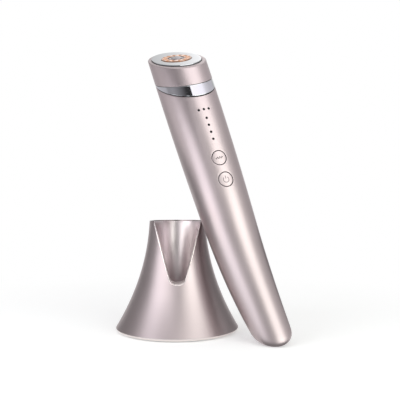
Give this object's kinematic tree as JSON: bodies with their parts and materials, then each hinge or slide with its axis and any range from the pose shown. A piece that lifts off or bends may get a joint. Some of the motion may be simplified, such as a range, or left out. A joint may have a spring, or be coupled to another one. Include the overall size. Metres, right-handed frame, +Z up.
{
  "type": "microcurrent facial massager wand with stand",
  "caption": "Slim facial massager wand with a slanted chrome contact face, buttons and lights, leaning on its bell-shaped stand with a V-shaped slot.",
  "frame": {"origin": "centre of the stand's foot pad, on the surface the stand and the wand stand on", "axes": "+Z up; -Y towards the side of the stand with the V-shaped slot, the front; +X to the right, where the wand's foot stands"},
  "size_m": [0.1037, 0.0902, 0.1842],
  "materials": {
    "rose_satin": "satin metallic rose champagne",
    "rose_inner": "satin metallic rose, darker inside the socket",
    "chrome": "mirror polished",
    "amber_lens": "clear amber, lit from behind",
    "black_rubber": "matte",
    "grey_plastic": "moulded",
    "steel": "plain",
    "gold": "plated",
    "board": "solder resist",
    "lamp": "clear",
    "black_plastic": "gloss",
    "battery_wrap": "shrink wrap",
    "lead_cover": "insulation"
  },
  "bodies": {
    "stand": {"foot_pad": "black_rubber", "base_plate": "grey_plastic", "base_screws": "steel", "stand_weight": "steel", "stand_shell": "rose_satin", "socket_liner": "rose_inner"},
    "wand": {"body_shell": "rose_satin", "neck_seal": "black_rubber", "chrome_band": "chrome", "head_cap": "rose_satin", "neck_frame": "grey_plastic", "head_screws": "steel", "head_carrier": "grey_plastic", "face_seal": "black_rubber", "face_plate": "chrome", "contact_pins": "gold", "lens_ring": "amber_lens", "centre_electrode": "chrome", "lamp_board": "board", "head_lamps": "lamp", "level_lights": "black_plastic", "mode_lights": "black_plastic", "level_switch": "steel", "power_switch": "steel", "indicator_leds": "lamp", "main_board": "board", "board_chips": "black_plastic", "chassis": "grey_plastic", "chassis_screws": "steel", "battery_cell": "battery_wrap", "battery_tabs": "gold", "battery_leads": "lead_cover", "motor_can": "steel", "motor_leads": "lead_cover", "charge_board": "board", "charge_port": "steel", "charge_leads": "lead_cover", "head_leads": "lead_cover"},
    "level_key": {"level_button": "rose_satin"},
    "power_key": {"power_button": "rose_satin"},
    "drive": {"motor_shaft": "steel", "motor_weight": "steel"}
  },
  "joints": [
    {"name": "wand_lift", "type": "slide", "parent": "stand", "child": "wand", "axis": [0, 0, 1], "range_m": [0, 0.2]},
    {"name": "level_button_press", "type": "slide", "parent": "wand", "child": "level_key", "axis": [-0.2188, 0.9377, -0.2699], "range_m": [0, 0.00035], "stiffness_N_per_m": 1500, "springref_m": -0.0004},
    {"name": "power_button_press", "type": "slide", "parent": "wand", "child": "power_key", "axis": [-0.2188, 0.9377, -0.2699], "range_m": [0, 0.00035], "stiffness_N_per_m": 1500, "springref_m": -0.0004},
    {"name": "motor_spin", "type": "hinge", "parent": "wand", "child": "drive", "pos_m": [0.01816, -0.0061, 0.11179], "axis": [-0.2871, 0.2025, 0.9363], "continuous": true}
  ]
}
